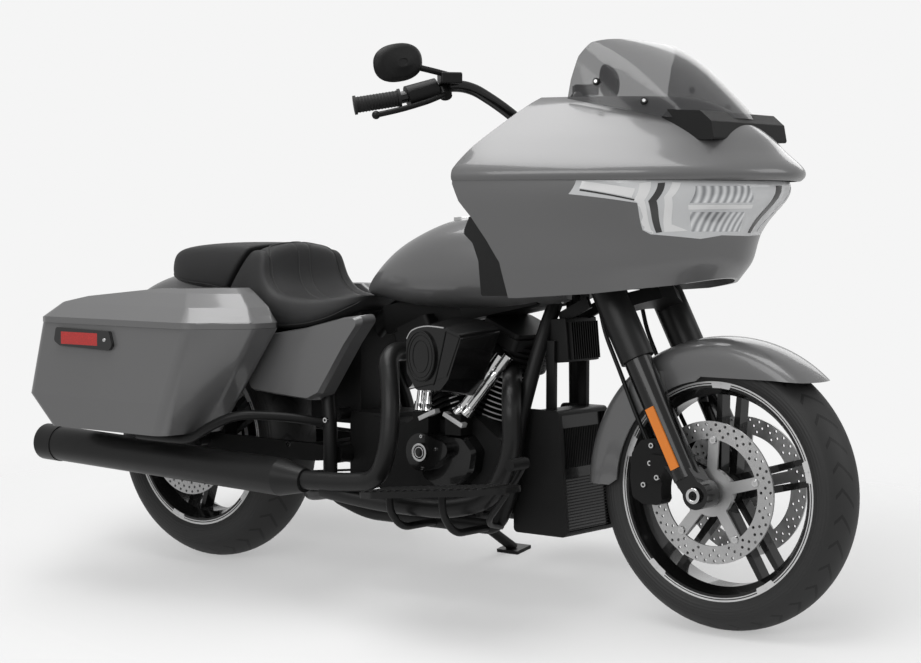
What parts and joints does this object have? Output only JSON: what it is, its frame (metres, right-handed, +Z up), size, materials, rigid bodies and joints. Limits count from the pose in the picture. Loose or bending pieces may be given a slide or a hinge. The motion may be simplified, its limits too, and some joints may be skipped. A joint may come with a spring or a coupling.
{
  "type": "touring cruiser motorcycle",
  "caption": "Touring motorcycle with a frame-mounted fairing, V-twin engine, hard saddlebags and spoked alloy wheels, leaning on its side stand.",
  "frame": {"origin": "on the ground, at the centre of the footprint of the bounding box of the parked motorcycle", "axes": "+X forward, +Y to the left, the side it leans to, +Z up"},
  "size_m": [2.3981, 1.0556, 1.3739],
  "materials": {
    "panel_paint": "gloss neutral grey",
    "black_gloss": "gloss black",
    "black_satin": "satin black",
    "engine_black": "satin black coat",
    "machined": "machined",
    "black_alloy": "gloss black with machined edges",
    "chrome": "polished",
    "disc_steel": "ground",
    "tyre_rubber": "moulded rubber",
    "black_rubber": "moulded rubber",
    "black_plastic": "fine grain",
    "seat_vinyl": "stitched vinyl",
    "clear_lens": "clear",
    "smoke_screen": "dark tint",
    "amber_lens": "moulded lens",
    "red_lens": "moulded lens"
  },
  "bodies": {
    "chassis": {"air_cleaner": "black_gloss", "air_vent": "black_plastic", "bag_reflectors": "red_lens", "belt_pulley": "black_alloy", "cam_cover": "black_gloss", "cylinder_heads": "engine_black", "drive_belt": "black_rubber", "engine_cases": "engine_black", "engine_cylinders": "engine_black", "exhaust_pipes": "black_satin", "fairing": "panel_paint", "fairing_bracket": "black_satin", "fairing_trim": "black_plastic", "foot_controls": "black_satin", "footboards": "black_satin", "frame": "black_satin", "fuel_cap": "machined", "fuel_tank": "panel_paint", "gauge_panel": "black_plastic", "headlamp": "clear_lens", "inner_fairing": "black_plastic", "muffler_left": "black_satin", "muffler_right": "black_satin", "passenger_seat": "seat_vinyl", "primary_cover": "black_gloss", "pushrod_tubes": "chrome", "radiator": "black_alloy", "radiator_shroud": "black_plastic", "rear_axle": "machined", "rear_caliper": "black_satin", "rear_fender": "panel_paint", "rear_shocks": "black_satin", "rider_seat": "seat_vinyl", "saddlebag_left": "panel_paint", "saddlebag_right": "panel_paint", "side_covers": "panel_paint", "swingarm": "black_satin", "tail_lamp": "red_lens", "windshield": "smoke_screen"},
    "lid_right": {"lid_right": "panel_paint"},
    "lid_left": {"lid_left": "panel_paint"},
    "steering": {"fork_sliders": "black_satin", "fork_covers": "black_gloss", "steering_stem": "black_satin", "handlebar": "black_satin", "grips": "black_rubber", "hand_controls": "black_satin", "mirrors": "black_plastic", "front_fender": "panel_paint", "front_calipers": "black_satin", "front_axle": "machined", "fork_reflectors": "amber_lens"},
    "front_wheel": {"front_tyre": "tyre_rubber", "front_rim": "black_alloy", "front_discs": "disc_steel"},
    "rear_wheel": {"rear_tyre": "tyre_rubber", "rear_rim": "black_alloy", "rear_disc": "disc_steel", "rear_sprocket": "black_alloy"},
    "side_stand": {"side_stand": "black_satin"}
  },
  "joints": [
    {"name": "steering", "type": "hinge", "parent": "chassis", "child": "steering", "pos_m": [0.63539, -0.01912, 0.83947], "axis": [-0.4381, 0.1483, 0.8866], "range_deg": [-28, 28]},
    {"name": "front_wheel_spin", "type": "hinge", "parent": "steering", "child": "front_wheel", "pos_m": [0.87979, -0.10671, 0.31596], "axis": [-0.0001, 0.9863, -0.165], "continuous": true},
    {"name": "rear_wheel_spin", "type": "hinge", "parent": "chassis", "child": "rear_wheel", "pos_m": [-0.74521, -0.10534, 0.32469], "axis": [-0.0001, 0.9863, -0.165], "continuous": true},
    {"name": "side_stand_fold", "type": "hinge", "parent": "chassis", "child": "side_stand", "pos_m": [-0.02526, 0.0268, 0.16282], "axis": [-0.0001, 0.9863, -0.165], "range_deg": [0, 85]},
    {"name": "right_lid_hinge", "type": "hinge", "parent": "chassis", "child": "lid_right", "pos_m": [-0.74508, -0.48807, 0.71562], "axis": [1, 0, -0.0003], "range_deg": [0, 80]},
    {"name": "left_lid_hinge", "type": "hinge", "parent": "chassis", "child": "lid_left", "pos_m": [-0.74513, 0.38381, 0.56971], "axis": [-1, 0, 0.0003], "range_deg": [0, 80]}
  ]
}
